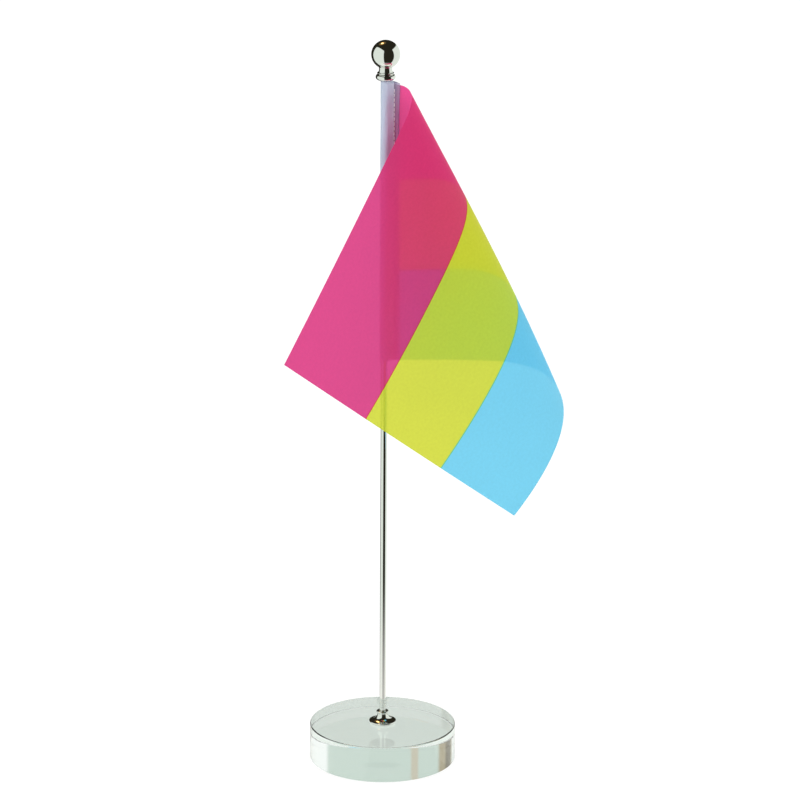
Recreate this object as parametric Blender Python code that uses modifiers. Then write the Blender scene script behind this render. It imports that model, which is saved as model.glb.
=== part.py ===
"""Desk flag stand: a small striped flag on a turned metal pole that screws into a round glass base.

Units are metres, +Z is up, and the origin is the centre of the base's underside. Every turned piece
stands on the Z axis, which is also the axis that the pole, the flag and the finial turn on. The
flag starts at the pole's +X side, and its free end folds round towards -Y.
"""

import math

import bmesh
import bpy
import numpy as np
from mathutils import Vector

OBJECT_NAME = "desk_flag_stand"

# Flats round a turned piece, and round a stud
STEPS = 32
STUD_STEPS = 16

# Clearances
SEAT_GAP = 0.0003
THREAD_GAP = 0.0001

# Glass base
BASE_DIAMETER = 0.080
BASE_HEIGHT = 0.020
BASE_CHAMFER = 0.0006

# Ferrule, bonded to the middle of the base
BOND_THICKNESS = 0.0002
BOND_INSET = 0.0004
FERRULE_DIAMETER = 0.0147
FERRULE_HEIGHT = 0.0068
FERRULE_FLANGE = 0.0012
FERRULE_NECK_DIAMETER = 0.0056
FERRULE_LIP_DIAMETER = 0.0068
FERRULE_LIP_HEIGHT = 0.0012
FERRULE_RECESS = 0.0014

# Pole, a solid rod tapped at both ends
POLE_DIAMETER = 0.0035
POLE_TOP = 0.3820
POLE_CHAMFER = 0.0002

# Headless studs at the pole's two ends
STUD_DIAMETER = 0.0024
STUD_PITCH = 0.00045
STUD_THREAD_DEPTH = 0.00022
FOOT_STUD_LENGTH = 0.0100
FOOT_STUD_IN_FERRULE = 0.0045
TOP_STUD_LENGTH = 0.0115
TOP_STUD_IN_POLE = 0.0055
TAPPING_SPARE = 0.0006

# Finial
RING_DIAMETER = 0.0106
RING_HEIGHT = 0.0031
BALL_DIAMETER = 0.0154
BALL_RISE = 0.0137
NECK_DIAMETER = 0.0070
NECK_RISE = 0.0058
SKIRT_DIAMETER = 0.0090
SKIRT_LIP = 0.0005

# Flag sleeve, the white heading that slips over the pole
SLEEVE_SLACK = 0.00035
SLEEVE_WALL = 0.0005
SLEEVE_CAP = 0.0004
FLAP_ROOT = 0.0006
FLAP_WIDTH = 0.0030
FLAP_THICKNESS = 0.0004
SHOULDER_WIDTH = 0.0052
SHOULDER_DROP = 0.0016

# Flag field, one sheet cut square at both ends
FIELD_LENGTH = 0.175
FIELD_HEIGHT = 0.1522
FIELD_THICKNESS = 0.0005
FIELD_TOP_DROP = 0.0014
TOP_STRIPE_HEIGHT = 0.0526
STRIPES = 3
GRID_ALONG = 42
GRID_DOWN = 15

# How the sheet hangs: it is bent as part of a cone, whose tip lies beside and above the hoist's top
CONE_TIP_BACK = 0.0283
CONE_TIP_RISE = 0.070
HOIST_HEADING = math.radians(25.75)
FOLD_ANGLE = math.radians(24.95)
FOLD_LEAD_IN = math.radians(8.15)
FOLD_LEAD_OUT = math.radians(23.8)
FOLD_TURN = math.radians(182.2)
FLY_CURL = 1.46
FLY_CURL_START = math.radians(50.0)
FLY_CURL_SPREAD = math.radians(35.0)
SECTION_STEP = math.radians(0.25)

# How far the thin cloth gives under its own weight, away from that cone
CORNER_DROOP = 0.0151
CORNER_SWING = 0.0065
FLY_DROOP = 0.0022
BELLY_DROOP = 0.0042
BELLY_SWING = 0.0096

# Seam thread along the hoist
THREAD_RADIUS = 0.00012
THREAD_LIFT = 0.0006
THREAD_INSET = 0.0016
THREAD_END = 0.0030

BASE_TOP = BASE_HEIGHT
FERRULE_FOOT = BASE_TOP + BOND_THICKNESS
FERRULE_TOP = FERRULE_FOOT + FERRULE_HEIGHT
POLE_FOOT = FERRULE_TOP - FERRULE_RECESS + SEAT_GAP
STUD_RADIUS = STUD_DIAMETER / 2
TAPPED_RADIUS = STUD_RADIUS + THREAD_GAP
POLE_RADIUS = POLE_DIAMETER / 2
SLEEVE_TOP = POLE_TOP + SEAT_GAP + SLEEVE_CAP
RING_FOOT = SLEEVE_TOP + SEAT_GAP
BALL_FOOT = RING_FOOT + RING_HEIGHT + SEAT_GAP
SLEEVE_DIAMETER = POLE_DIAMETER + 2 * (SLEEVE_SLACK + SLEEVE_WALL)
SLEEVE_RADIUS = SLEEVE_DIAMETER / 2
FIELD_TOP = POLE_TOP - FIELD_TOP_DROP
FIELD_FOOT = FIELD_TOP - FIELD_HEIGHT


def clear_scene():
    for obj in list(bpy.data.objects):
        bpy.data.objects.remove(obj)


def new_collection(name, hidden=False):
    collection = bpy.data.collections.new(name)
    collection.hide_render = hidden
    bpy.context.scene.collection.children.link(collection)
    return collection


def material(name, colour, roughness, metallic=0.0, transmission=0.0):
    made = bpy.data.materials.new(name)
    made.use_nodes = True
    shader = made.node_tree.nodes["Principled BSDF"]
    shader.inputs["Base Color"].default_value = (*colour, 1.0)
    shader.inputs["Roughness"].default_value = roughness
    shader.inputs["Metallic"].default_value = metallic
    shader.inputs["Transmission Weight"].default_value = transmission
    made.diffuse_color = (*colour, 1.0)
    return made


def add_object(name, data, collection, height=0.0):
    obj = bpy.data.objects.new(name, data)
    obj.location = (0.0, 0.0, height)
    collection.objects.link(obj)
    return obj


def turned(name, profile, collection, finish, height=0.0, ring=False, steps=STEPS):
    """A turned piece. The profile holds (radius, z) from the top, down the outer side; a ring's closes."""
    mesh = bpy.data.meshes.new(name)
    bm = bmesh.new()
    verts = [bm.verts.new((radius, 0.0, z)) for radius, z in profile]
    for above, below in zip(verts, verts[1:]):
        bm.edges.new((above, below))
    if ring:
        bm.edges.new((verts[-1], verts[0]))
    bm.to_mesh(mesh)
    bm.free()
    mesh.materials.append(finish)
    obj = add_object(name, mesh, collection, height)
    screw = obj.modifiers.new("turn", "SCREW")
    screw.angle = math.tau
    screw.steps = steps
    screw.render_steps = steps
    screw.use_merge_vertices = True
    screw.merge_threshold = 0.00001
    screw.use_smooth_shade = True
    return obj


def arc(centre_radius, centre_z, radius, start, end, points):
    """Profile points on a circle. Angles are in degrees, 0 outwards and 90 up."""
    angles = np.radians(np.linspace(start, end, points))
    return [
        (centre_radius + radius * math.cos(a), centre_z + radius * math.sin(a)) for a in angles
    ]


def meshed(obj, collection):
    """The same shape as a mesh object, so that it can be joined or cut."""
    bpy.context.view_layer.update()
    evaluated = obj.evaluated_get(bpy.context.evaluated_depsgraph_get())
    mesh = bpy.data.meshes.new_from_object(evaluated)
    bm = bmesh.new()
    bm.from_mesh(mesh)
    bmesh.ops.remove_doubles(bm, verts=bm.verts, dist=0.00001)
    bm.to_mesh(mesh)
    bm.free()
    name = obj.name
    matrix = obj.matrix_world.copy()
    bpy.data.objects.remove(obj)
    made = bpy.data.objects.new(name, mesh)
    made.matrix_world = matrix
    collection.objects.link(made)
    return made


def build_base(collection):
    radius = BASE_DIAMETER / 2
    turned(
        "glass_base",
        [
            (0.0, BASE_HEIGHT),
            (radius - BASE_CHAMFER, BASE_HEIGHT),
            (radius, BASE_HEIGHT - BASE_CHAMFER),
            (radius, BASE_CHAMFER),
            (radius - BASE_CHAMFER, 0.0),
            (0.0, 0.0),
        ],
        collection,
        material("clear_glass", (0.80, 0.86, 0.83), 0.03, transmission=1.0),
    )
    turned(
        "ferrule_bond_film",
        [
            (0.0, BOND_THICKNESS),
            (FERRULE_DIAMETER / 2 - BOND_INSET, BOND_THICKNESS),
            (FERRULE_DIAMETER / 2 - BOND_INSET, 0.0),
            (0.0, 0.0),
        ],
        collection,
        material("clear_adhesive", (0.86, 0.88, 0.84), 0.20),
        height=BASE_TOP,
    )


def build_ferrule(collection, chrome):
    """A bell: a flat flange, a concave flank up to the neck, and a rounded lip that hides the pole's end."""
    flange = FERRULE_DIAMETER / 2
    neck = FERRULE_NECK_DIAMETER / 2
    lip = FERRULE_LIP_DIAMETER / 2
    neck_z = FERRULE_HEIGHT - FERRULE_LIP_HEIGHT
    recess = POLE_RADIUS + THREAD_GAP
    half_lip = FERRULE_LIP_HEIGHT / 2
    flank = [
        (
            neck + (flange - neck) * (1 - math.sin(t)),
            FERRULE_FLANGE + (neck_z - FERRULE_FLANGE) * (1 - math.cos(t)),
        )
        for t in np.linspace(0.0, math.pi / 2, 7)
    ]
    profile = [(recess, FERRULE_HEIGHT)]
    profile += arc(lip - half_lip, FERRULE_HEIGHT - half_lip, half_lip, 90, -60, 6)
    profile += reversed(flank)
    profile += [
        (flange, FERRULE_FLANGE / 3),
        (flange - FERRULE_FLANGE / 3, 0.0),
        (TAPPED_RADIUS, 0.0),
        (TAPPED_RADIUS, FERRULE_HEIGHT - FERRULE_RECESS),
        (recess, FERRULE_HEIGHT - FERRULE_RECESS),
    ]
    turned("base_ferrule", profile, collection, chrome, height=FERRULE_FOOT, ring=True)


def build_stud(name, length, foot, collection, steel):
    """A headless stud. Its thread is a run of V grooves."""
    root = STUD_RADIUS - STUD_THREAD_DEPTH
    turns = int((length - STUD_PITCH) / STUD_PITCH)
    spare = (length - turns * STUD_PITCH) / 2
    profile = [(0.0, length), (root, length)]
    for turn in range(turns):
        z = length - spare - turn * STUD_PITCH
        profile += [(root, z), (STUD_RADIUS, z - STUD_PITCH / 2)]
    profile += [(root, spare), (root, 0.0), (0.0, 0.0)]
    turned(name, profile, collection, steel, height=foot, steps=STUD_STEPS)


def build_pole(collection, chrome):
    length = POLE_TOP - POLE_FOOT
    foot_bore = FOOT_STUD_LENGTH - FOOT_STUD_IN_FERRULE + TAPPING_SPARE
    top_bore = TOP_STUD_IN_POLE + TAPPING_SPARE
    turned(
        "pole_rod",
        [
            (0.0, length - top_bore),
            (TAPPED_RADIUS, length - top_bore),
            (TAPPED_RADIUS, length),
            (POLE_RADIUS - POLE_CHAMFER, length),
            (POLE_RADIUS, length - POLE_CHAMFER),
            (POLE_RADIUS, POLE_CHAMFER),
            (POLE_RADIUS - POLE_CHAMFER, 0.0),
            (TAPPED_RADIUS, 0.0),
            (TAPPED_RADIUS, foot_bore),
            (0.0, foot_bore),
        ],
        collection,
        chrome,
        height=POLE_FOOT,
    )


def build_finial(collection, chrome):
    """A loose rounded ring, and a ball on a waisted neck whose skirt rests on it."""
    bore = TAPPED_RADIUS
    half = RING_HEIGHT / 2
    rim = RING_DIAMETER / 2
    turned(
        "finial_ring",
        [(bore, RING_HEIGHT), *arc(rim - half, half, half, 90, -90, 9), (bore, 0.0)],
        collection,
        chrome,
        height=RING_FOOT,
        ring=True,
    )
    ball = BALL_DIAMETER / 2
    neck = NECK_DIAMETER / 2
    skirt = SKIRT_DIAMETER / 2
    centre = RING_FOOT + BALL_RISE - BALL_FOOT
    waist = RING_FOOT + NECK_RISE - BALL_FOOT
    leave = math.degrees(math.acos(neck * 1.04 / ball))
    depth = TOP_STUD_LENGTH - TOP_STUD_IN_POLE - (BALL_FOOT - POLE_TOP) + TAPPING_SPARE
    flare = [
        (neck + (skirt - neck) * (1 - math.cos(t)), waist - (waist - SKIRT_LIP) * math.sin(t))
        for t in np.linspace(0.0, math.pi / 2, 6)
    ]
    profile = arc(0.0, centre, ball, 90, -leave, 17)
    profile[0] = (0.0, centre + ball)
    profile += flare
    profile += [(skirt, 0.0), (bore, 0.0), (bore, depth), (0.0, depth)]
    turned("finial_ball", profile, collection, chrome, height=BALL_FOOT)


def build_sleeve(collection, cutters):
    """The heading: a tube closed at its top but for the stud's hole, with a sewing flap behind the field."""
    white = material("white_heading", (0.80, 0.83, 0.88), 0.60)
    length = SLEEVE_TOP - FIELD_FOOT
    inner = SLEEVE_RADIUS - SLEEVE_WALL
    hole = STUD_RADIUS + SEAT_GAP
    tube = turned(
        "flag_sleeve",
        [
            (hole, length),
            (SLEEVE_RADIUS - SLEEVE_CAP, length),
            (SLEEVE_RADIUS, length - SLEEVE_CAP),
            (SLEEVE_RADIUS, 0.0),
            (inner, 0.0),
            (inner, length - SLEEVE_CAP),
            (hole, length - SLEEVE_CAP),
        ],
        collection,
        white,
        height=FIELD_FOOT,
        ring=True,
    )
    outline = bpy.data.curves.new("sleeve_flap", "CURVE")
    outline.dimensions = "2D"
    outline.fill_mode = "BOTH"
    outline.extrude = FLAP_THICKNESS / 2
    corners = [
        (-FLAP_ROOT, 0.0),
        (FLAP_WIDTH, 0.0),
        (FLAP_WIDTH, length - 2 * SHOULDER_DROP),
        (SHOULDER_WIDTH, length - SHOULDER_DROP),
        (-FLAP_ROOT, length - SLEEVE_CAP),
    ]
    line = outline.splines.new("POLY")
    line.points.add(len(corners) - 1)
    for point, (x, z) in zip(line.points, corners):
        point.co = (x, z, 0.0, 1.0)
    line.use_cyclic_u = True
    flap = add_object("sleeve_flap", outline, collection, FIELD_FOOT)
    flap.rotation_euler = (math.pi / 2, 0.0, HOIST_HEADING)
    behind = FIELD_THICKNESS / 2 + SEAT_GAP + FLAP_THICKNESS / 2
    flap.location.x = SLEEVE_RADIUS + SEAT_GAP - behind * math.sin(HOIST_HEADING)
    flap.location.y = behind * math.cos(HOIST_HEADING)
    flap = meshed(flap, cutters)
    flap.hide_render = True
    flap.display_type = "WIRE"
    join = tube.modifiers.new("flap", "BOOLEAN")
    join.operation = "UNION"
    join.solver = "EXACT"
    join.object = flap


def ease(x):
    x = min(max(x, 0.0), 1.0)
    return x * x * (3 - 2 * x)


def bend_at(angle):
    """How sharply the cone's section bends sideways, at an angle from the hoist measured at its tip."""
    spread = FOLD_LEAD_IN if angle < FOLD_ANGLE else FOLD_LEAD_OUT
    reach = abs(angle - FOLD_ANGLE) / spread
    fold = 0.5 * (1 + math.cos(math.pi * reach)) if reach < 1 else 0.0
    fold *= 2 * FOLD_TURN / (FOLD_LEAD_IN + FOLD_LEAD_OUT)
    return fold + FLY_CURL * ease((angle - FLY_CURL_START) / FLY_CURL_SPREAD)


def hoist_across():
    """The level direction in which the sheet leaves the hoist."""
    return Vector((math.cos(HOIST_HEADING), math.sin(HOIST_HEADING), 0.0))


def cone_section():
    """Unit directions from the cone's tip, one for each step of the angle there. Length along the
    section equals the angle turned, so the sheet keeps its size when it is bent."""
    ray = Vector((0.0, 0.0, -1.0))
    heading = hoist_across()
    rays = [ray.copy()]
    for step in range(int(math.radians(110.0) / SECTION_STEP)):
        side = ray.cross(heading)
        turning = side + ray * bend_at((step + 0.5) * SECTION_STEP)
        axis = turning.normalized()
        angle = turning.length * SECTION_STEP
        ray = turn_about(ray, axis, angle)
        heading = turn_about(heading, axis, angle)
        rays.append(ray.copy())
    return rays


def turn_about(vector, axis, angle):
    cosine = math.cos(angle)
    return (
        vector * cosine + axis.cross(vector) * math.sin(angle) + axis * axis.dot(vector) * (1 - cosine)
    )


def sheet_point(along, down, rays, hoist):
    """Where a point of the flat sheet comes to: along from the hoist, and down from the top edge."""
    tip = hoist - hoist_across() * CONE_TIP_BACK + Vector((0.0, 0.0, CONE_TIP_RISE))
    out = along + CONE_TIP_BACK
    drop = down + CONE_TIP_RISE
    step = math.atan2(out, drop) / SECTION_STEP
    first = int(step)
    ray = rays[first].lerp(rays[first + 1], step - first)
    point = tip + ray * math.hypot(out, drop)
    s = along / FIELD_LENGTH
    t = down / FIELD_HEIGHT
    belly = 4 * s * (1 - s)
    fly = ease(s)
    point.x += belly * t * BELLY_SWING - fly * t * CORNER_SWING
    point.z -= fly * t * (CORNER_DROOP + (1 - t) * FLY_DROOP) + belly * t * BELLY_DROOP
    return point


def build_field(collection):
    """The printed sheet: a grid bent to shape, a cloth's thickness solid, its stripes by face. The top
    stripe has a height of its own, and the two below it share the rest."""
    hoist = Vector((SLEEVE_RADIUS + SEAT_GAP, 0.0, FIELD_TOP))
    rays = cone_section()
    stripe_edges = [0.0, TOP_STRIPE_HEIGHT, (TOP_STRIPE_HEIGHT + FIELD_HEIGHT) / 2, FIELD_HEIGHT]
    stripe_shares = np.linspace(0.0, 1.0, STRIPES + 1)
    mesh = bpy.data.meshes.new("flag_field")
    bm = bmesh.new()
    bmesh.ops.create_grid(bm, x_segments=GRID_ALONG, y_segments=GRID_DOWN, size=0.5)
    for face in bm.faces:
        height = 0.5 - face.calc_center_median().y
        face.material_index = min(int(height * STRIPES), STRIPES - 1)
        face.smooth = True
    for vert in bm.verts:
        along = (vert.co.x + 0.5) * FIELD_LENGTH
        down = float(np.interp(0.5 - vert.co.y, stripe_shares, stripe_edges))
        vert.co = sheet_point(along, down, rays, hoist)
    bm.to_mesh(mesh)
    bm.free()
    mesh.materials.append(material("pink_print", (0.75, 0.09, 0.30), 0.55))
    mesh.materials.append(material("yellow_print", (0.68, 0.74, 0.10), 0.55))
    mesh.materials.append(material("blue_print", (0.20, 0.62, 0.86), 0.55))
    field = add_object("flag_field", mesh, collection)
    cloth = field.modifiers.new("cloth", "SOLIDIFY")
    cloth.thickness = FIELD_THICKNESS
    cloth.offset = 0.0
    column = FIELD_LENGTH / GRID_ALONG
    rows = np.interp(np.linspace(0.0, 1.0, GRID_DOWN + 1), stripe_shares, stripe_edges)
    stand_off = FIELD_THICKNESS / 2 + THREAD_LIFT + THREAD_RADIUS
    seam = []
    for down in rows:
        edge = sheet_point(0.0, down, rays, hoist)
        across = sheet_point(column, down, rays, hoist) - edge
        front = across.cross(Vector((0.0, 0.0, 1.0))).normalized()
        seam.append(edge + across * (THREAD_INSET / column) + front * stand_off)
    seam[0] = seam[0].lerp(seam[1], THREAD_END / (rows[1] - rows[0]))
    seam[-1] = seam[-1].lerp(seam[-2], THREAD_END / (rows[-1] - rows[-2]))
    return seam


def build_thread(points, collection):
    """The seam's thread, lying along the front of the hoist."""
    curve = bpy.data.curves.new("sleeve_seam_thread", "CURVE")
    curve.dimensions = "3D"
    curve.bevel_depth = THREAD_RADIUS
    curve.bevel_resolution = 2
    curve.use_fill_caps = True
    line = curve.splines.new("POLY")
    line.points.add(len(points) - 1)
    for point, place in zip(line.points, points):
        point.co = (*place, 1.0)
    curve.materials.append(material("white_thread", (0.85, 0.86, 0.88), 0.70))
    add_object("sleeve_seam_thread", curve, collection)


def main():
    clear_scene()
    parts = new_collection(OBJECT_NAME)
    cutters = new_collection("cutters", hidden=True)
    chrome = material("bright_chrome", (0.78, 0.78, 0.76), 0.08, metallic=1.0)
    steel = material("plain_steel", (0.55, 0.55, 0.54), 0.35, metallic=1.0)
    build_base(parts)
    build_ferrule(parts, chrome)
    build_stud("foot_stud", FOOT_STUD_LENGTH, POLE_FOOT - FOOT_STUD_IN_FERRULE, parts, steel)
    build_pole(parts, chrome)
    build_stud("finial_stud", TOP_STUD_LENGTH, POLE_TOP - TOP_STUD_IN_POLE, parts, steel)
    build_finial(parts, chrome)
    build_sleeve(parts, cutters)
    build_thread(build_field(parts), parts)


main()
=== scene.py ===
import math

import bpy
import numpy as np
from mathutils import Matrix, Vector


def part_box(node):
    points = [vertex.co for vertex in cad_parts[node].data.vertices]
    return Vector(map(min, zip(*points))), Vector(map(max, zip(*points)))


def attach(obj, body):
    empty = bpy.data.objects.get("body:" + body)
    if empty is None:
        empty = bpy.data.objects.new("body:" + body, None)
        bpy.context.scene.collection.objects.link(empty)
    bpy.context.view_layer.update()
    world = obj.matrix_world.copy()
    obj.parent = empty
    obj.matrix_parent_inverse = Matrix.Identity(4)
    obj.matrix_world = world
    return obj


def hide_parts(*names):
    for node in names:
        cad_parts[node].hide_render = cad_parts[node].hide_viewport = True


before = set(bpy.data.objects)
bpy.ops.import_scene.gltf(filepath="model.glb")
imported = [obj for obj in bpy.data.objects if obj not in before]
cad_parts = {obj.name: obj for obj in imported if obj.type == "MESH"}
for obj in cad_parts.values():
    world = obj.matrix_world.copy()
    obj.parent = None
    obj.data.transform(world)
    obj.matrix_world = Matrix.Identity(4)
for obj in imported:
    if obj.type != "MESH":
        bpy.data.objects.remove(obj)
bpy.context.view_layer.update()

scene = bpy.context.scene
scene.view_settings.view_transform = "Standard"


class Wire:
    # one socket; sums on it add Math nodes
    def __init__(self, net, socket):
        self.net = net
        self.socket = socket

    def maths(self, operation, first, second=0.0):
        return self.net.add("ShaderNodeMath", {"operation": operation}, {0: first, 1: second})

    def __add__(self, other):
        return self.maths("ADD", self, other)

    def __sub__(self, other):
        return self.maths("SUBTRACT", self, other)

    def __rsub__(self, other):
        return self.maths("SUBTRACT", other, self)

    def __mul__(self, other):
        return self.maths("MULTIPLY", self, other)

    __radd__ = __add__
    __rmul__ = __mul__


class Net:
    # a node tree, and the one way that nodes are added to it
    def __init__(self, tree):
        self.tree = tree
        tree.nodes.clear()

    def add(self, kind, settings=None, sockets=None, out=0):
        node = self.tree.nodes.new(kind)
        for name, value in (settings or {}).items():
            setattr(node, name, value)
        for name, value in (sockets or {}).items():
            if isinstance(value, Wire):
                self.tree.links.new(value.socket, node.inputs[name])
            else:
                node.inputs[name].default_value = value
        return Wire(self, node.outputs[out]) if node.outputs else None

    def mix(self, share, first, second):
        return self.add(
            "ShaderNodeMix", {"data_type": "RGBA"}, {0: share, 6: first, 7: second}, out=2
        )

    def step(self, value, low, high):
        # 0 below low, 1 above high, smooth between
        return self.add(
            "ShaderNodeMapRange",
            {"interpolation_type": "SMOOTHSTEP"},
            {"Value": value, "From Min": low, "From Max": high},
        )

    def noise(self, place, scale, detail=3.0, roughness=0.5):
        return self.add(
            "ShaderNodeTexNoise",
            None,
            {"Vector": place, "Scale": scale, "Detail": detail, "Roughness": roughness},
        )

    def bump(self, height, strength, distance):
        return self.add(
            "ShaderNodeBump", None, {"Height": height, "Strength": strength, "Distance": distance}
        )


def newMaterial(name):
    made = bpy.data.materials.new(name)
    made.use_nodes = True
    net = Net(made.node_tree)
    return made, net, net.add("ShaderNodeTexCoord", None, None, out=3)


def finish(net, shader):
    net.add("ShaderNodeOutputMaterial", None, {"Surface": shader})


def newPiece(name, mesh, material, body, nodes=()):
    piece = bpy.data.objects.new(name, mesh)
    scene.collection.objects.link(piece)
    if material and not mesh.materials:
        mesh.materials.append(material)
    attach(piece, body)
    if nodes:
        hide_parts(*nodes)
    return piece


def turnedMesh(name, outline, steps, closed=False, sharp=35.0):
    # outline: (radius, z) from the top down the outer side; radius 0 is a point on the axis
    rows = []
    verts = []
    for radius, z in outline:
        if radius < 1e-9:
            rows.append([len(verts)] * steps)
            verts.append((0.0, 0.0, z))
        else:
            rows.append(list(range(len(verts), len(verts) + steps)))
            for k in range(steps):
                a = math.tau * k / steps
                verts.append((radius * math.cos(a), radius * math.sin(a), z))
    faces = []
    pairs = list(zip(rows, rows[1:]))
    if closed:
        pairs.append((rows[-1], rows[0]))
    for upper, lower in pairs:
        for k in range(steps):
            n = (k + 1) % steps
            corners = [upper[k], lower[k], lower[n], upper[n]]
            faces.append(list(dict.fromkeys(corners)))
    mesh = bpy.data.meshes.new(name)
    mesh.from_pydata(verts, [], faces)
    mesh.shade_smooth()
    mesh.set_sharp_from_angle(angle=math.radians(sharp))
    return mesh


def held(outline, inset=0.00006):
    # points just inside the ends of long straight runs, so that smooth shading stays flat on them
    made = [outline[0]]
    for (r0, z0), (r1, z1) in zip(outline, outline[1:]):
        length = math.hypot(r1 - r0, z1 - z0)
        if length > 20 * inset:
            for share in (inset / length, 1 - inset / length):
                made.append((r0 + (r1 - r0) * share, z0 + (z1 - z0) * share))
        made.append((r1, z1))
    return made


def arc(centreRadius, centreZ, radius, start, end, points):
    angles = np.radians(np.linspace(start, end, points))
    return [(centreRadius + radius * math.cos(a), centreZ + radius * math.sin(a)) for a in angles]


view = {
    # metres, and the lens and sensor in millimetres
    "place": (0.0, -2.3347, 0.9139),
    "aim": (0.0086, 0.0, 0.2059),
    "lean": 0.334,      # degrees the camera leans to its right
    "lens": 203.1,
    "sensor": 36.0,
    "reach": 60.0,      # how far the camera sees
}


def addCamera():
    data = bpy.data.cameras.new("camera")
    data.lens = view["lens"]
    data.sensor_width = view["sensor"]
    data.clip_end = view["reach"]
    camera = bpy.data.objects.new("camera", data)
    scene.collection.objects.link(camera)
    forward = (Vector(view["aim"]) - Vector(view["place"])).normalized()
    right = forward.cross(Vector((0.0, 0.0, 1.0))).normalized()
    up = right.cross(forward)
    lean = math.radians(view["lean"])
    across = right * math.cos(lean) + up * math.sin(lean)
    upward = up * math.cos(lean) - right * math.sin(lean)
    turn = Matrix((across, upward, -forward)).transposed().to_4x4()
    camera.matrix_world = Matrix.Translation(view["place"]) @ turn
    scene.camera = camera
    print("camera set")


addCamera()

studio = {
    "floorSize": 24.0,
    "floorDrop": 0.0002,
    "floorColour": (0.93, 0.93, 0.93, 1.0),
    # flat panels: the way they face, their two ends in degrees round from the front, right is
    # positive, how steeply they rise, and their light
    "panels": [
        (-62.0, -115.0, -16.0, 1.13, (0.86, 0.93, 0.86, 1.0)),
        (80.0, 69.0, 180.0, 0.78, (0.88, 0.94, 0.87, 1.0)),
    ],
    "roomColour": (0.022, 0.020, 0.013, 1.0),
    # behind the stand, as the glass foot shows it: the first is the whole room, then strips of it
    "throughGlass": (0.98, 1.0, 0.99, 1.0),
    "underGlass": (0.86, 0.92, 0.87, 1.0),
    "strips": [
        (140.0, 226.0, 3.0, (0.60, 0.70, 0.64, 1.0)),
        (197.0, 202.0, 1.2, (0.60, 0.56, 0.45, 1.0)),
        (222.0, 250.0, 3.0, (0.42, 0.36, 0.24, 1.0)),
        (233.0, 246.0, 3.0, (0.15, 0.12, 0.07, 1.0)),
    ],
    "darkFloor": (0.03, 0.32),      # from where to where the metal mirrors room instead of floor
    "panelEdge": (-0.03, 0.05),     # how softly a panel's slanted edge fades
    "warmLamp": (-0.29, 0.43, 0.85),
    "warmColour": (1.0, 0.62, 0.22, 1.0),
    # the cosine to the lamp's direction where its light starts and is full, and how bright it is
    "warmHalo": (0.93, 0.985, 0.18),
    "warmCore": (0.9915, 0.9955, 5.0),
    "backdrop": (1.1, 1.1, 1.1, 1.0),
    # the floor: shares from 0 to 1, and distances from the stand
    "mirrorNear": 0.4,      # how much of the room the metal mirrors in the floor at the stand
    "underGlassShare": 0.85,
    "whiteNear": 0.8,       # how far the floor is burnt out beside the stand
    "whiteFade": (0.05, 0.4),
    "whiteStrength": 1.08,
}


def parts(net, vector):
    return [net.add("ShaderNodeSeparateXYZ", None, {0: vector}, out=k) for k in range(3)]


def azimuthOf(net, x, y):
    # degrees round the Z axis, 0 towards -Y and positive towards +X
    turn = net.add("ShaderNodeMath", {"operation": "ARCTAN2"}, {0: x, 1: 0.0 - y})
    return turn * (180.0 / math.pi)


def between(net, value, low, high, soft=2.0):
    inside = net.step(value, low - soft, low + soft)
    return inside * (1.0 - net.step(value, high - soft, high + soft))


def roomLight(net, x, y, z=None):
    # what the bright metal mirrors: two panels in a dark room
    azimuth = azimuthOf(net, x, y)
    light = studio["roomColour"]
    for facing, start, end, rise, colour in studio["panels"]:
        mask = between(net, azimuth, start, end)
        if z is not None:
            way = math.radians(facing)
            reach = (x * math.sin(way) - y * math.cos(way)) * rise - z
            mask = mask * net.step(reach, *studio["panelEdge"])
        light = net.mix(mask, light, colour)
    return light, azimuth


def addWorld():
    world = bpy.data.worlds.new("studio")
    scene.world = world
    world.use_nodes = True
    net = Net(world.node_tree)
    direction = net.add("ShaderNodeTexCoord", None, None, out=0)
    x, y, z = parts(net, direction)
    light, azimuth = roomLight(net, x, y, z)
    left = net.add("ShaderNodeMath", {"operation": "LESS_THAN"}, {0: azimuth, 1: 0.0})
    behind = azimuth + left * 360.0
    wall = studio["throughGlass"]
    for start, end, soft, colour in studio["strips"]:
        wall = net.mix(between(net, behind, start, end, soft), wall, colour)
    light = net.mix(net.add("ShaderNodeLightPath", None, None, out=6), light, wall)
    lamp = net.add(
        "ShaderNodeVectorMath",
        {"operation": "DOT_PRODUCT"},
        {0: direction, 1: Vector(studio["warmLamp"]).normalized()},
        out=1,
    )
    haloLow, haloHigh, halo = studio["warmHalo"]
    coreLow, coreHigh, core = studio["warmCore"]
    glow = net.step(lamp, haloLow, haloHigh) * halo + net.step(lamp, coreLow, coreHigh) * core
    warm = net.mix(glow, light, studio["warmColour"])
    warm.socket.node.clamp_factor = False
    seen = net.add("ShaderNodeLightPath", None, None, out=0)
    shown = net.mix(seen, warm, studio["backdrop"])
    background = net.add("ShaderNodeBackground", None, {"Color": shown, "Strength": 1.0})
    net.add("ShaderNodeOutputWorld", None, {"Surface": background})


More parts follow.
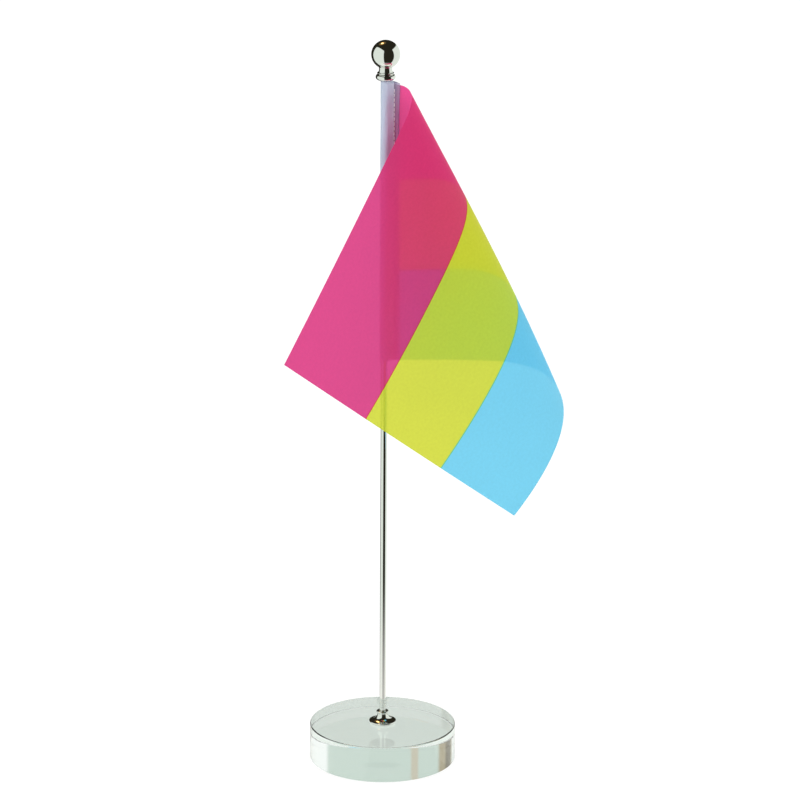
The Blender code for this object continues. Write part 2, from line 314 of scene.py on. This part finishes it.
def addFloor():
    mesh = bpy.data.meshes.new("floor")
    half = studio["floorSize"] / 2
    z = -studio["floorDrop"]
    mesh.from_pydata(
        [(-half, -half, z), (half, -half, z), (half, half, z), (-half, half, z)], [], [(0, 1, 2, 3)]
    )
    floor = bpy.data.objects.new("floor", mesh)
    scene.collection.objects.link(floor)
    material, net, place = newMaterial("floorPaper")
    fibre = net.noise(place, 900.0)
    paper = net.add(
        "ShaderNodeBsdfPrincipled",
        None,
        {
            "Base Color": studio["floorColour"],
            "Roughness": 0.9,
            "Specular IOR Level": 0.1,
            "Normal": net.bump(fibre, 0.05, 0.0001),
        },
    )
    # away from the stand, the metal mirrors the room's panels right down to the floor
    x, y = parts(net, place)[:2]
    away = net.add("ShaderNodeVectorMath", {"operation": "LENGTH"}, {0: place}, out=1)
    light = roomLight(net, x, y)[0]
    room = net.add("ShaderNodeEmission", None, {"Color": light})
    refracted = net.add("ShaderNodeLightPath", None, None, out=6)
    mirrored = net.add("ShaderNodeLightPath", None, None, out=3) * (1.0 - refracted)
    near = studio["mirrorNear"]
    far = net.step(away, *studio["darkFloor"]) * (1.0 - near) + near
    both = net.add("ShaderNodeMixShader", None, {0: far * mirrored, 1: paper, 2: room})
    # the bright sheet under the glass foot
    under = net.add("ShaderNodeEmission", None, {"Color": studio["underGlass"]})
    share = refracted * studio["underGlassShare"]
    both = net.add("ShaderNodeMixShader", None, {0: share, 1: both, 2: under})
    # burnt out to white where the lens sees it, with a trace of shadow left round the stand
    white = net.add(
        "ShaderNodeEmission",
        None,
        {"Color": (1.0, 1.0, 1.0, 1.0), "Strength": studio["whiteStrength"]},
    )
    seen = net.add("ShaderNodeLightPath", None, None, out=0)
    near = studio["whiteNear"]
    burnt = net.step(away, *studio["whiteFade"]) * (1.0 - near) + near
    finish(net, net.add("ShaderNodeMixShader", None, {0: seen * burnt, 1: both, 2: white}))
    mesh.materials.append(material)


lamps = [
    # name, place in metres, width, power in watts, colour
    ("topSoftbox", (0.0, 0.2, 3.2), 3.0, 78.0, (1.0, 1.0, 1.0)),
    ("leftSoftbox", (-2.6, -2.4, 1.5), 2.0, 60.0, (0.98, 1.0, 1.0)),
    ("rightSoftbox", (2.7, -0.8, 1.2), 1.8, 34.0, (1.0, 1.0, 1.0)),
    ("frontFill", (0.9, -3.6, 1.0), 1.6, 34.0, (1.0, 0.99, 0.97)),
    ("backSoftbox", (0.8, 3.2, 1.4), 2.4, 24.0, (1.0, 1.0, 1.0)),
]
lampAim = (0.0, 0.0, 0.2)


def addLamps():
    for name, place, size, power, colour in lamps:
        data = bpy.data.lights.new(name, "AREA")
        data.shape = "DISK"
        data.size = size
        data.energy = power
        data.color = colour
        lamp = bpy.data.objects.new(name, data)
        scene.collection.objects.link(lamp)
        lamp.location = place
        aim = Vector(lampAim) - Vector(place)
        lamp.rotation_euler = aim.to_track_quat("-Z", "Y").to_euler()
        lamp.visible_glossy = False
        lamp.visible_transmission = False
        lamp.visible_camera = False
    print("studio lit")


addWorld()
addFloor()
addLamps()


def chromeFinish():
    made, net, place = newMaterial("brightChrome")
    wear = net.noise(place, 260.0, 4.0)
    haze = net.noise(place, 45.0)
    shader = net.add(
        "ShaderNodeBsdfPrincipled",
        None,
        {
            "Base Color": net.mix(haze * 0.35, (0.83, 0.83, 0.81, 1.0), (0.74, 0.74, 0.71, 1.0)),
            "Metallic": 1.0,
            "Roughness": net.step(wear, 0.42, 0.80) * 0.05 + 0.045,
            "Normal": net.bump(wear, 0.02, 0.00005),
        },
    )
    finish(net, shader)
    return made


def steelFinish():
    made, net, place = newMaterial("plainSteel")
    grain = net.noise(place, 1400.0)
    shader = net.add(
        "ShaderNodeBsdfPrincipled",
        None,
        {
            "Base Color": net.mix(grain, (0.50, 0.50, 0.49, 1.0), (0.62, 0.62, 0.60, 1.0)),
            "Metallic": 1.0,
            "Roughness": grain * 0.2 + 0.22,
            "Normal": net.bump(grain, 0.1, 0.00003),
        },
    )
    finish(net, shader)
    return made


def glassFinish():
    made, net, place = newMaterial("clearGlass")
    smear = net.noise(place, 38.0, 4.0, 0.6)
    shader = net.add(
        "ShaderNodeBsdfPrincipled",
        None,
        {
            "Base Color": net.mix(
                smear * 0.3, (0.955, 0.985, 0.968, 1.0), (0.94, 0.975, 0.955, 1.0)
            ),
            "Roughness": net.step(smear, 0.55, 0.85) * 0.03,
            "IOR": 1.5,
            "Transmission Weight": 1.0,
        },
    )
    finish(net, shader)
    return made


def adhesiveFinish():
    made, net, place = newMaterial("curedAdhesive")
    cloud = net.noise(place, 320.0, 4.0)
    shader = net.add(
        "ShaderNodeBsdfPrincipled",
        None,
        {
            "Base Color": net.mix(cloud, (0.52, 0.53, 0.50, 1.0), (0.66, 0.67, 0.63, 1.0)),
            "Roughness": cloud * 0.3 + 0.2,
            "Normal": net.bump(cloud, 0.2, 0.0001),
        },
    )
    finish(net, shader)
    return made


def weave(net, across, down, pitch):
    # over-and-under threads from the cloth's own measure, in metres
    warp = net.add("ShaderNodeMath", {"operation": "SINE"}, {0: across * (math.tau / pitch)})
    weft = net.add("ShaderNodeMath", {"operation": "SINE"}, {0: down * (math.tau / pitch)})
    return warp * weft * 0.5 + 0.5


clothInk = {
    # reflected colour, then the light it lets through
    "pink": ((0.745, 0.046, 0.205, 1.0), (0.60, 0.17, 0.50, 1.0)),
    "pinkOnYellow": ((0.62, 0.060, 0.060, 1.0), (0.60, 0.15, 0.10, 1.0)),
    "yellow": ((0.620, 0.690, 0.050, 1.0), (0.88, 0.80, 0.16, 1.0)),
    "blueOnYellow": ((0.10, 0.52, 0.26, 1.0), (0.20, 0.65, 0.20, 1.0)),
    "blue": ((0.175, 0.610, 0.880, 1.0), (0.28, 0.74, 0.92, 1.0)),
}
clothLook = {
    "pitch": 0.00028,
    "open": 0.20,       # the share of light that goes straight through between the threads
    "unevenness": 0.16,
    "lit": 0.44,        # the share of the cloth that glows with light from behind
    "deepInk": 0.90,
    "sheen": 0.15,
}


def clothFinish(name):
    ink, gel = clothInk[name]
    made, net = newMaterial(name + "Print")[:2]
    flat = net.add("ShaderNodeTexCoord", None, None, out=2)
    across = net.add("ShaderNodeSeparateXYZ", None, {0: flat}, out=0)
    down = net.add("ShaderNodeSeparateXYZ", None, {0: flat}, out=1)
    threads = weave(net, across, down, clothLook["pitch"])
    slub = net.noise(flat, 700.0, 3.0)
    cloud = net.noise(flat, 60.0, 3.0)
    deep = tuple(c * clothLook["deepInk"] for c in ink[:3]) + (1.0,)
    colour = net.mix(slub * 0.6 + cloud * 0.4, deep, ink)
    front = net.add(
        "ShaderNodeBsdfPrincipled",
        None,
        {
            "Base Color": colour,
            "Roughness": slub * 0.2 + 0.5,
            "Sheen Weight": clothLook["sheen"],
            "Sheen Roughness": 0.4,
            "Specular IOR Level": 0.3,
            "Normal": net.bump(threads + slub * 0.5, 0.25, 0.00004),
        },
    )
    glow = net.add("ShaderNodeBsdfTranslucent", None, {"Color": ink})
    body = net.add("ShaderNodeMixShader", None, {0: clothLook["lit"], 1: front, 2: glow})
    sheer = net.add("ShaderNodeBsdfTransparent", None, {"Color": gel})
    holes = (slub - 0.5) * clothLook["unevenness"] + clothLook["open"]
    finish(net, net.add("ShaderNodeMixShader", None, {0: holes, 1: body, 2: sheer}))
    return made


def paintedShadeSheerTapeFinish():
    # the heading's front flap, one thin layer through which the print shows, coloured with painted
    # shade: a dark bluish purple in streaks
    made, net, place = newMaterial("paintedShadeSheerTape")
    x, y, z = parts(net, place)
    drawnOut = net.add("ShaderNodeCombineXYZ", None, {0: x, 1: y, 2: z * 0.08})
    stripes = net.noise(drawnOut, 900.0, 3.0)
    cloth = net.add(
        "ShaderNodeBsdfPrincipled",
        None,
        {
            # painted shade: the flap's own colour is a dark bluish purple, not white
            "Base Color": net.mix(stripes, (0.22, 0.22, 0.36, 1.0), (0.48, 0.44, 0.58, 1.0)),
            "Roughness": 0.6,
            "Normal": net.bump(stripes, 0.3, 0.00005),
        },
    )
    sheer = net.add("ShaderNodeBsdfTransparent", None, {"Color": (0.92, 0.88, 0.95, 1.0)})
    finish(net, net.add("ShaderNodeMixShader", None, {0: stripes * 0.35 + 0.36, 1: cloth, 2: sheer}))
    return made


def paintedShadeTapeFinish():
    # white tape with painted shade: its colour is darker and bluer than the white cloth, as the sleeve
    # looks in shade
    made, net, place = newMaterial("whiteTape")
    weftLines = net.add(
        "ShaderNodeTexWave",
        {"bands_direction": "Z"},
        {"Vector": place, "Scale": 900.0, "Distortion": 0.4},
    )
    slub = net.noise(place, 800.0, 3.0)
    front = net.add(
        "ShaderNodeBsdfPrincipled",
        None,
        {
            "Base Color": net.mix(slub, (0.48, 0.53, 0.67, 1.0), (0.55, 0.60, 0.74, 1.0)),
            "Roughness": slub * 0.2 + 0.5,
            "Sheen Weight": 0.2,
            "Normal": net.bump(weftLines * 0.6 + slub, 0.3, 0.00005),
        },
    )
    # painted shade here too: the light it lets through is bluish grey, not white
    glow = net.add("ShaderNodeBsdfTranslucent", None, {"Color": (0.62, 0.66, 0.80, 1.0)})
    finish(net, net.add("ShaderNodeMixShader", None, {0: 0.25, 1: front, 2: glow}))
    return made


chrome = chromeFinish()
steel = steelFinish()
paintedShadeTape = paintedShadeTapeFinish()
print("finishes mixed")

base = {"chamfer": 0.0006, "steps": 256, "filmSteps": 96}


def buildBase():
    low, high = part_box("glass_base")
    radius = (high.x - low.x) / 2
    height = high.z
    edge = base["chamfer"]
    outline = [(0.0, height), (radius * 0.5, height)]
    outline += arc(radius - edge, height - edge, edge, 90, 0, 7)
    outline += arc(radius - edge, edge, edge, 0, -90, 7)
    outline += [(radius * 0.5, 0.0), (0.0, 0.0)]
    mesh = turnedMesh("glassBase", held(outline), base["steps"])
    newPiece("glassBase", mesh, glassFinish(), "base", ["glass_base"])
    low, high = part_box("ferrule_bond_film")
    radius = (high.x - low.x) / 2
    rim = (high.z - low.z) / 2
    outline = [(0.0, high.z), *arc(radius - rim, high.z - rim, rim, 90, -90, 7), (0.0, low.z)]
    mesh = turnedMesh("bondFilm", outline, base["filmSteps"])
    newPiece("bondFilm", mesh, adhesiveFinish(), "base", ["ferrule_bond_film"])
    print("glass base and bond film turned")


buildBase()

ferrule = {
    "flange": 0.0012,
    "neck": 0.0056,
    "lip": 0.0068,
    "lipHeight": 0.0012,
    "recess": 0.0014,
    "clearance": 0.0001,
    "chamfer": 0.0001,
    "steps": 128,
}


def buildFerrule():
    low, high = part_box("base_ferrule")
    rodLow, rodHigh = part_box("pole_rod")
    studLow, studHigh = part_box("foot_stud")
    foot = low.z
    height = high.z - low.z
    flange = (high.x - low.x) / 2
    neck = ferrule["neck"] / 2
    half = ferrule["lipHeight"] / 2
    neckZ = height - ferrule["lipHeight"]
    recess = (rodHigh.x - rodLow.x) / 2 + ferrule["clearance"]
    bore = (studHigh.x - studLow.x) / 2 + ferrule["clearance"]
    chamfer = ferrule["chamfer"]
    rim = ferrule["flange"]
    flank = []
    for t in np.linspace(math.pi / 2, 0.0, 20):
        r = neck + (flange - neck) * (1 - math.sin(t))
        flank.append((r, rim + (neckZ - rim) * (1 - math.cos(t))))
    outline = [(recess, height - chamfer), (recess + chamfer, height)]
    outline += arc(ferrule["lip"] / 2 - half, height - half, half, 90, -60, 14)
    outline += flank
    outline += arc(flange - rim / 2, rim / 2, rim / 2, 60, -60, 9)
    outline += [(flange - rim * 0.4, 0.0), (bore, 0.0)]
    outline += [(bore, height - ferrule["recess"]), (recess, height - ferrule["recess"])]
    outline = [(r, z + foot) for r, z in outline]
    mesh = turnedMesh("ferrule", outline, ferrule["steps"], closed=True, sharp=50.0)
    newPiece("ferrule", mesh, chrome, "base", ["base_ferrule"])
    print("ferrule turned")


buildFerrule()

# past each stud's end, its tapped hole runs on a little
tapSpare = 0.0006

pole = {"chamfer": 0.0002, "clearance": 0.0001, "steps": 64}


def buildPole():
    low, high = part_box("pole_rod")
    radius = (high.x - low.x) / 2
    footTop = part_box("foot_stud")[1].z
    topLow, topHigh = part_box("finial_stud")
    bore = (topHigh.x - topLow.x) / 2 + pole["clearance"]
    chamfer = pole["chamfer"]
    outline = [
        (0.0, topLow.z - tapSpare),
        (bore, topLow.z - tapSpare),
        (bore, high.z),
        (radius - chamfer, high.z),
        (radius, high.z - chamfer),
        (radius, low.z + chamfer),
        (radius - chamfer, low.z),
        (bore, low.z),
        (bore, footTop + tapSpare),
        (0.0, footTop + tapSpare),
    ]
    mesh = turnedMesh("poleRod", held(outline), pole["steps"])
    newPiece("poleRod", mesh, chrome, "pole", ["pole_rod"])
    print("pole turned")


buildPole()

thread = {"pitch": 0.00045, "depth": 0.00022, "round": 24, "perTurn": 8}


def threadedMesh(name, low, high):
    # a true single-start thread, run out to a plain core at both ends
    radius = (high.x - low.x) / 2
    length = high.z - low.z
    rows = int(length / thread["pitch"] * thread["perTurn"])
    verts = []
    for row in range(rows + 1):
        z = length * row / rows
        fade = min(1.0, min(z, length - z) / thread["pitch"])
        for k in range(thread["round"]):
            share = k / thread["round"]
            phase = (z / thread["pitch"] - share) % 1.0
            crest = 1.0 - abs(2.0 * phase - 1.0)
            r = radius - thread["depth"] * (1.0 - crest * fade)
            a = math.tau * share
            verts.append((r * math.cos(a), r * math.sin(a), low.z + z))
    around = thread["round"]
    faces = []
    for row in range(rows):
        for k in range(around):
            n = (k + 1) % around
            a = row * around
            faces.append((a + k, a + n, a + around + n, a + around + k))
    faces.append(tuple(reversed(range(around))))
    faces.append(tuple(range(rows * around, (rows + 1) * around)))
    mesh = bpy.data.meshes.new(name)
    mesh.from_pydata(verts, [], faces)
    mesh.shade_smooth()
    mesh.set_sharp_from_angle(angle=math.radians(50.0))
    return mesh


def buildStuds():
    studs = (("footStud", "foot_stud", "pole"), ("finialStud", "finial_stud", "finial"))
    for name, node, body in studs:
        mesh = threadedMesh(name, *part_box(node))
        newPiece(name, mesh, steel, body, [node])
    print("studs threaded")


buildStuds()

finial = {
    "ball": 0.0077,     # radius
    "neck": 0.0070,
    "waist": 0.0024,
    "skirt": 0.0090,
    "lip": 0.0005,
    "clearance": 0.0001,
    "chamfer": 0.0001,
    "steps": 128,
}


def buildFinial():
    low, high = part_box("finial_ring")
    studLow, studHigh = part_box("finial_stud")
    bore = (studHigh.x - studLow.x) / 2 + finial["clearance"]
    rim = (high.x - low.x) / 2
    half = (high.z - low.z) / 2
    outline = [(bore, high.z), *arc(rim - half, low.z + half, half, 90, -90, 24), (bore, low.z)]
    mesh = turnedMesh("finialRing", outline, finial["steps"], closed=True)
    newPiece("finialRing", mesh, chrome, "ring", ["finial_ring"])
    low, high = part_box("finial_ball")
    ball = finial["ball"]
    centre = high.z - ball
    neck = finial["neck"] / 2
    skirt = finial["skirt"] / 2
    waist = low.z + finial["waist"]
    chamfer = finial["chamfer"]
    # the ball ends a little wider than the neck, which tapers in below it
    leave = math.degrees(math.acos(neck * 1.04 / ball))
    outline = arc(0.0, centre, ball, 90, -leave, 56)
    outline[0] = (0.0, high.z)
    for t in np.linspace(0.0, math.pi / 2, 18):
        r = neck + (skirt - neck) * (1 - math.cos(t))
        outline.append((r, waist - (waist - low.z - finial["lip"]) * math.sin(t)))
    outline += [(skirt, low.z + chamfer), (skirt - chamfer, low.z), (bore, low.z)]
    outline += [(bore, studHigh.z + tapSpare), (0.0, studHigh.z + tapSpare)]
    mesh = turnedMesh("finialBall", outline, finial["steps"], sharp=50.0)
    newPiece("finialBall", mesh, chrome, "finial", ["finial_ball"])
    print("finial turned")


buildFinial()

hang = {
    "length": 0.175,
    "height": 0.1522,
    "topStripe": 0.0526,
    "topDrop": 0.0014,
    "gap": 0.0003,      # from the heading to the field's hoist
    "tipBack": 0.0283,      # the cone's tip, from the hoist's top corner
    "tipRise": 0.070,
    "heading": 25.75,       # degrees back from +X
    # all in degrees, the places measured at the cone's tip from straight down
    "fold": 24.95,
    "leadIn": 8.15,
    "leadOut": 23.8,
    "turn": 182.2,
    "flyCurl": 1.46,        # this one is the bend per degree
    "flyCurlStart": 50.0,
    "flyCurlSpread": 35.0,
    "step": 0.25,
    "reach": 110.0,         # how far the section is worked out
    # how far the cloth gives, in metres
    "cornerDroop": 0.0151,
    "cornerSwing": 0.0065,
    "flyDroop": 0.0022,
    "bellyDroop": 0.0042,
    "bellySwing": 0.0096,
}
sheet = {"columns": 200, "rowsInStripe": 56, "inkOverlap": 0.0005}


def ease(x):
    x = min(max(x, 0.0), 1.0)
    return x * x * (3 - 2 * x)


def bendAt(angle):
    spread = hang["leadIn"] if angle < hang["fold"] else hang["leadOut"]
    reach = abs(angle - hang["fold"]) / spread
    fold = 0.5 * (1 + math.cos(math.pi * reach)) if reach < 1 else 0.0
    fold *= 2 * hang["turn"] / (hang["leadIn"] + hang["leadOut"])
    return fold + hang["flyCurl"] * ease((angle - hang["flyCurlStart"]) / hang["flyCurlSpread"])


def coneSection():
    # unit rays from the cone's tip; length along them equals the angle, so the cloth keeps its size
    heading = math.radians(hang["heading"])
    ray = Vector((0.0, 0.0, -1.0))
    across = Vector((math.cos(heading), math.sin(heading), 0.0))
    rays = [ray.copy()]
    step = math.radians(hang["step"])
    for count in range(int(hang["reach"] / hang["step"])):
        axis = ray.cross(across) + ray * bendAt((count + 0.5) * hang["step"])
        turn = Matrix.Rotation(axis.length * step, 3, axis)
        ray = turn @ ray
        across = turn @ across
        rays.append(ray.copy())
    return rays


rays = coneSection()
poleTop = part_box("pole_rod")[1].z
sleeveRadius = -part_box("flag_sleeve")[0].x
hoistTop = Vector((sleeveRadius + hang["gap"], 0.0, poleTop - hang["topDrop"]))
hoistWay = math.radians(hang["heading"])
hoistAcross = Vector((math.cos(hoistWay), math.sin(hoistWay), 0.0))


def clothPoint(along, down):
    tip = hoistTop - hoistAcross * hang["tipBack"] + Vector((0.0, 0.0, hang["tipRise"]))
    out = along + hang["tipBack"]
    drop = down + hang["tipRise"]
    place = math.degrees(math.atan2(out, drop)) / hang["step"]
    first = int(place)
    point = tip + rays[first].lerp(rays[first + 1], place - first) * math.hypot(out, drop)
    s = along / hang["length"]
    t = down / hang["height"]
    belly = 4 * s * (1 - s)
    fly = ease(s)
    swing = belly * t * hang["bellySwing"] - fly * t * hang["cornerSwing"]
    droop = fly * t * (hang["cornerDroop"] + (1 - t) * hang["flyDroop"]) + belly * t * hang["bellyDroop"]
    return point + Vector((swing, 0.0, -droop))


def buildField():
    first = hang["topStripe"]
    second = (first + hang["height"]) / 2
    half = sheet["inkOverlap"] / 2
    bands = [
        ("pink", 0.0, first - half, sheet["rowsInStripe"]),
        ("pinkOnYellow", first - half, first + half, 1),
        ("yellow", first + half, second - half, sheet["rowsInStripe"]),
        ("blueOnYellow", second - half, second + half, 1),
        ("blue", second + half, hang["height"], sheet["rowsInStripe"]),
    ]
    downs = [0.0]
    inks = []
    for index, (start, end, rows) in enumerate(band[1:] for band in bands):
        downs += list(np.linspace(start, end, rows + 1)[1:])
        inks += [index] * rows
    alongs = np.linspace(0.0, hang["length"], sheet["columns"] + 1)
    verts = [clothPoint(along, down) for down in downs for along in alongs]
    wide = len(alongs)
    faces = []
    for row in range(len(downs) - 1):
        for k in range(wide - 1):
            a = row * wide + k
            faces.append((a, a + wide, a + wide + 1, a + 1))
    mesh = bpy.data.meshes.new("flagField")
    mesh.from_pydata(verts, [], faces)
    uv = mesh.uv_layers.new(name="cloth")
    for loop in mesh.loops:
        row, k = divmod(loop.vertex_index, wide)
        uv.data[loop.index].uv = (alongs[k], downs[row])
    for polygon in mesh.polygons:
        polygon.material_index = inks[polygon.index // (wide - 1)]
    mesh.shade_smooth()
    for band in bands:
        mesh.materials.append(clothFinish(band[0]))
    field = newPiece("flagField", mesh, None, "flag", ["flag_field"])
    print("flag field hung")
    return field


field = buildField()

sleeve = {
    "radius": 0.00245,      # of the cloth's middle, round the pole
    "thickness": 0.0003,
    "layer": 0.00036,       # how far each flap's middle lies from the field's
    "leave": (-50.0, 56.0),     # where the cloth leaves the pole for the seam, in degrees
    # along the field from its hoist
    "root": 0.0006,
    "opaque": 0.0014,       # beyond this the front flap is sheer
    "front": 0.0046,
    "back": 0.0030,
    "shoulder": 0.0050,
    "shoulderDrop": 0.0012,
    "hole": 0.0014,
    "pleats": 13,
    "pleatRise": 0.00008,   # also how far the closed top stands over the last row
    "flapPoints": 7,
    "rows": 110,
    "round": 64,
}
# soft waves in the wrap: how many go round, how they drift with height, and how deep they are
ripples = ((3, 90.0, 0.020), (7, -240.0, 0.014))


def hoistNormal(down):
    # level, and out of the back of the cloth's first millimetre from the hoist
    across = clothPoint(0.001, down) - clothPoint(0.0, down)
    return Vector((-across.y, across.x, 0.0)).normalized()


def sleeveCrossing(z):
    # one level of the wrap: front flap, right round the pole, back flap; True where it is sheer
    down = poleTop - hang["topDrop"] - z
    normal = hoistNormal(down) * sleeve["layer"]

    def flap(ends, side):
        points = []
        for along in np.linspace(*ends, sleeve["flapPoints"]):
            point = clothPoint(along, down) + normal * side
            points.append((Vector((point.x, point.y, z)), along))
        return points

    front = flap((sleeve["front"], sleeve["root"]), -1)
    path = [(p, along > sleeve["opaque"], along) for p, along in front]
    start, end = (math.radians(a) for a in sleeve["leave"])
    for angle in np.linspace(start, end - math.tau, sleeve["round"]):
        ripple = 1.0
        for waves, drift, depth in ripples:
            ripple += depth * math.sin(waves * angle + drift * z)
        r = sleeve["radius"] * ripple
        path.append((Vector((r * math.cos(angle), r * math.sin(angle), z)), False, 0.0))
    back = flap((sleeve["root"], sleeve["back"]), 1)
    return path + [(p, False, along) for p, along in back]


def buildSleeve():
    low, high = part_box("flag_sleeve")
    top = high.z - sleeve["thickness"]
    heights = np.linspace(low.z, top, sleeve["rows"] + 1)
    verts = []
    faces = []
    sheer = []
    wide = 0
    for row, z in enumerate(heights):
        crossing = sleeveCrossing(z)
        wide = len(crossing)
        for place, thin, along in crossing:
            # the flaps' top edges slope away from the ring
            slope = sleeve["shoulderDrop"] * (along / sleeve["shoulder"]) ** 1.5
            place.z -= slope * (z - low.z) / (top - low.z)
            verts.append(place)
        if row:
            for k in range(wide - 1):
                a = (row - 1) * wide + k
                faces.append((a, a + 1, a + 1 + wide, a + wide))
                sheer.append(crossing[k][1])
    # gathered over the pole's end, round the hole that the stud comes through
    rim = [k for k, (place, thin, along) in enumerate(crossing) if along <= sleeve["root"] + 1e-6]
    rise = sleeve["pleatRise"]
    last = [len(verts) - wide + k for k in rim]
    outer = [verts[k].copy() for k in last]
    for share in (0.3, 0.6, 0.85, 1.0):
        ring = []
        for k, place in enumerate(outer):
            flat = Vector((place.x, place.y, 0.0))
            inner = flat.normalized() * sleeve["hole"]
            wave = math.sin(sleeve["pleats"] * math.tau * k / len(outer))
            pleat = rise * wave * math.sin(math.pi * share)
            point = flat.lerp(inner, share)
            ring.append(len(verts))
            verts.append(Vector((point.x, point.y, top + rise + pleat)))
        for k in range(len(ring) - 1):
            faces.append((last[k], last[k + 1], ring[k + 1], ring[k]))
            sheer.append(False)
        last = ring
    mesh = bpy.data.meshes.new("flagSleeve")
    mesh.from_pydata(verts, [], faces)
    mesh.shade_smooth()
    mesh.materials.append(paintedShadeTape)
    mesh.materials.append(paintedShadeSheerTapeFinish())
    for polygon, thin in zip(mesh.polygons, sheer):
        polygon.material_index = 1 if thin else 0
    piece = newPiece("flagSleeve", mesh, None, "flag", ["flag_sleeve"])
    cloth = piece.modifiers.new("cloth", "SOLIDIFY")
    cloth.thickness = sleeve["thickness"]
    cloth.offset = 0.0
    print("sleeve sewn up")


buildSleeve()

stitch = {
    "length": 0.0019,
    "gap": 0.0007,
    "radius": 0.00013,
    "inset": 0.0016,
    "end": 0.0025,
    "sunk": 0.2,        # at its ends, a stitch's middle lies this many radii out from the flap
    "bow": 0.9,         # and this many more at its middle
    "runs": 4,
}


def buildStitches():
    made, net, place = newMaterial("sewingThread")
    twist = net.add(
        "ShaderNodeTexWave", {"bands_direction": "DIAGONAL"}, {"Vector": place, "Scale": 1500.0}
    )
    shader = net.add(
        "ShaderNodeBsdfPrincipled",
        None,
        {
            "Base Color": net.mix(twist, (0.78, 0.79, 0.82, 1.0), (0.93, 0.93, 0.95, 1.0)),
            "Roughness": 0.6,
            "Sheen Weight": 0.3,
            "Normal": net.bump(twist, 0.4, 0.00005),
        },
    )
    finish(net, shader)
    curve = bpy.data.curves.new("seamStitches", "CURVE")
    curve.dimensions = "3D"
    curve.bevel_depth = stitch["radius"]
    curve.bevel_resolution = 2
    curve.use_fill_caps = True
    flapFront = sleeve["layer"] + sleeve["thickness"] / 2
    down = stitch["end"]
    while down + stitch["length"] < hang["height"] - stitch["end"]:
        line = curve.splines.new("POLY")
        line.points.add(stitch["runs"])
        for k, point in enumerate(line.points):
            share = k / stitch["runs"]
            bow = stitch["sunk"] + stitch["bow"] * math.sin(math.pi * share)
            lift = flapFront + stitch["radius"] * bow
            level = down + stitch["length"] * share
            place = clothPoint(stitch["inset"], level) - hoistNormal(level) * lift
            point.co = (*place, 1.0)
        down += stitch["length"] + stitch["gap"]
    shaped = bpy.data.objects.new("seamStitches", curve)
    scene.collection.objects.link(shaped)
    bpy.context.view_layer.update()
    depsgraph = bpy.context.evaluated_depsgraph_get()
    mesh = bpy.data.meshes.new_from_object(shaped.evaluated_get(depsgraph))
    bpy.data.objects.remove(shaped)
    mesh.materials.clear()
    mesh.shade_smooth()
    piece = newPiece("seamStitches", mesh, made, "flag", ["sleeve_seam_thread"])
    print("seam stitched")
    return piece


stitches = buildStitches()
